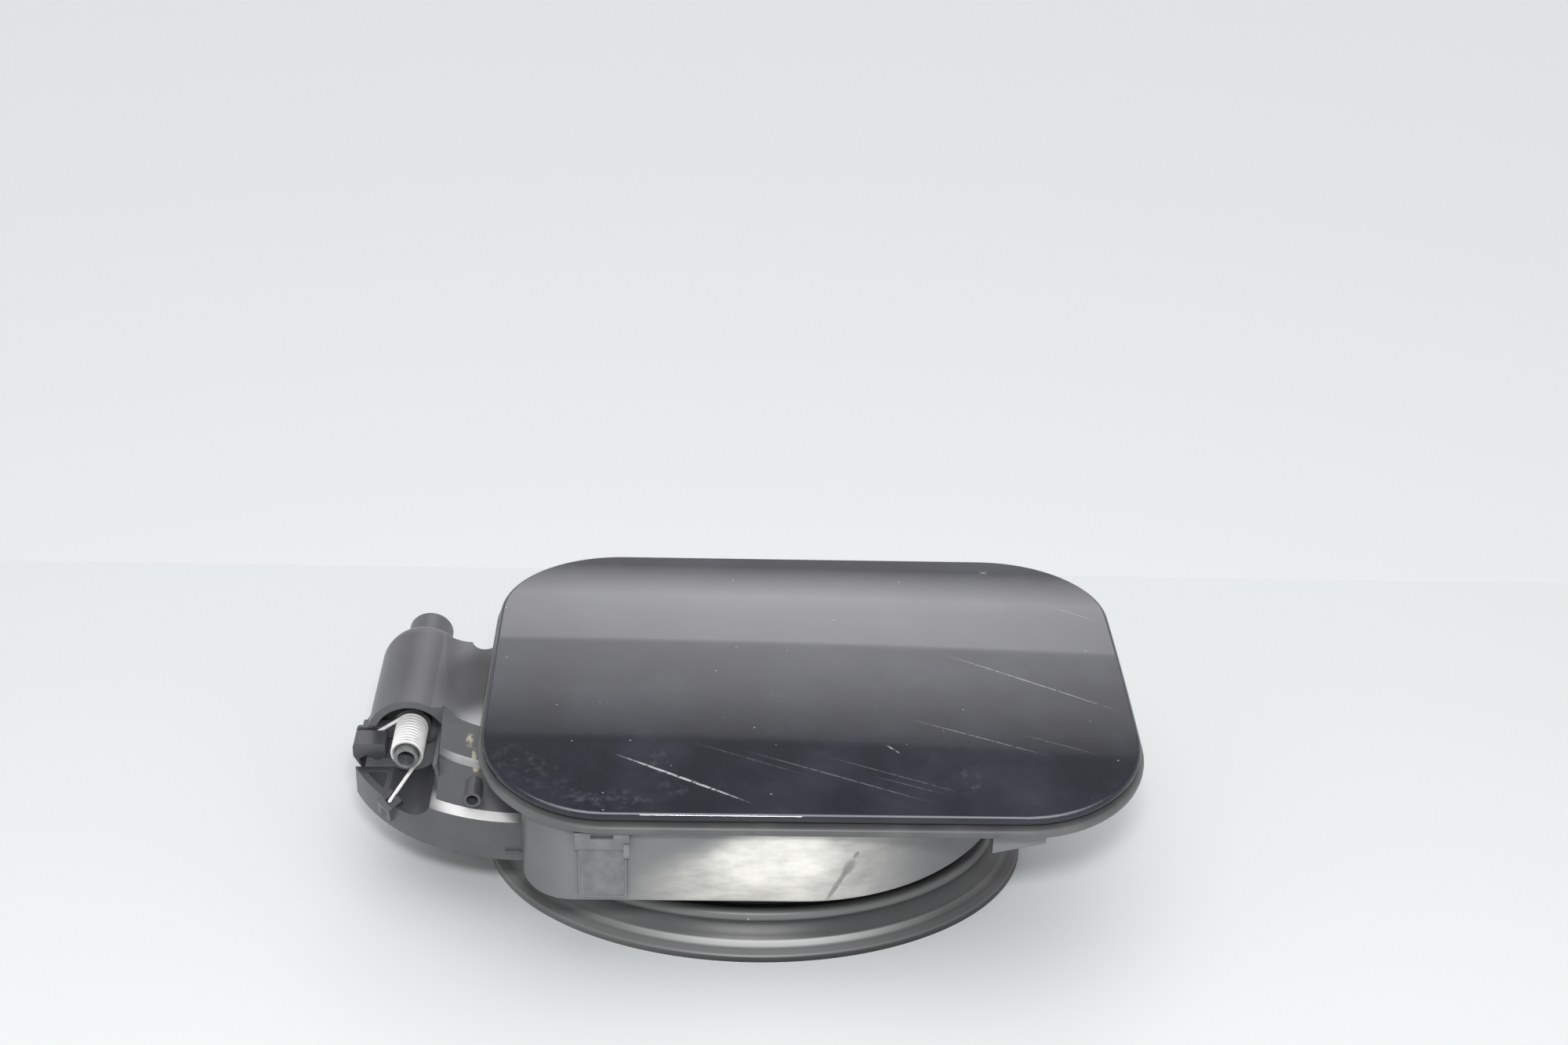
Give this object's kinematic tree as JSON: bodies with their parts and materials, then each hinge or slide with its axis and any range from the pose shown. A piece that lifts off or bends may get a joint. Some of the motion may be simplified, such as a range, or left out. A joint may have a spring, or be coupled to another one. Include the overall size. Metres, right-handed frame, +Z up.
{
  "type": "car fuel door",
  "caption": "Rounded rectangular car fuel door, closed, on a sprung goose-neck hinge over a moulded filler pot with an oval rubber boot.",
  "frame": {"origin": "Middle of the bounding box in plan, at the underside of the rubber boot that the part stands on.", "axes": "X from the hinge side to the lock side along the lid's length, Y from the pot's front wall to its back wall, Z up, out of the car body, through the closed lid."},
  "size_m": [0.2506, 0.1536, 0.065],
  "materials": {
    "lid_paint": "gloss clear-coated black paint, scratched",
    "panel_plastic": "satin moulded plastic",
    "arm_plastic": "glass-filled moulded plastic",
    "zinc_steel": "zinc-plated",
    "black_steel": "blackened",
    "bush_plastic": "plain natural plastic",
    "housing_plastic": "worn satin moulded plastic",
    "spring_coating": "white coating on steel wire",
    "seal_rubber": "soft grey rubber",
    "boot_rubber": "dusty black rubber"
  },
  "bodies": {
    "pot": {"hinge_bushes": "bush_plastic", "torsion_spring": "spring_coating", "filler_housing": "housing_plastic", "rim_seal": "seal_rubber", "filler_boot": "boot_rubber", "lock_bush": "bush_plastic", "lid_buffers": "seal_rubber", "body_clips": "housing_plastic"},
    "lid": {"lid_skin": "lid_paint", "lid_inner_panel": "panel_plastic", "hinge_arm": "arm_plastic", "arm_screws": "zinc_steel", "hinge_shaft": "black_steel", "shaft_clip": "zinc_steel", "spring_lever": "housing_plastic", "lock_striker": "arm_plastic", "striker_screws": "zinc_steel"}
  },
  "joints": [
    {"name": "lid_hinge", "type": "hinge", "parent": "pot", "child": "lid", "pos_m": [-0.107, 0, 0.043], "axis": [0, -1, 0], "range_deg": [0, 75], "stiffness_Nm_per_rad": 0.25, "springref_deg": -17.19, "deforming": ["torsion_spring"]}
  ]
}
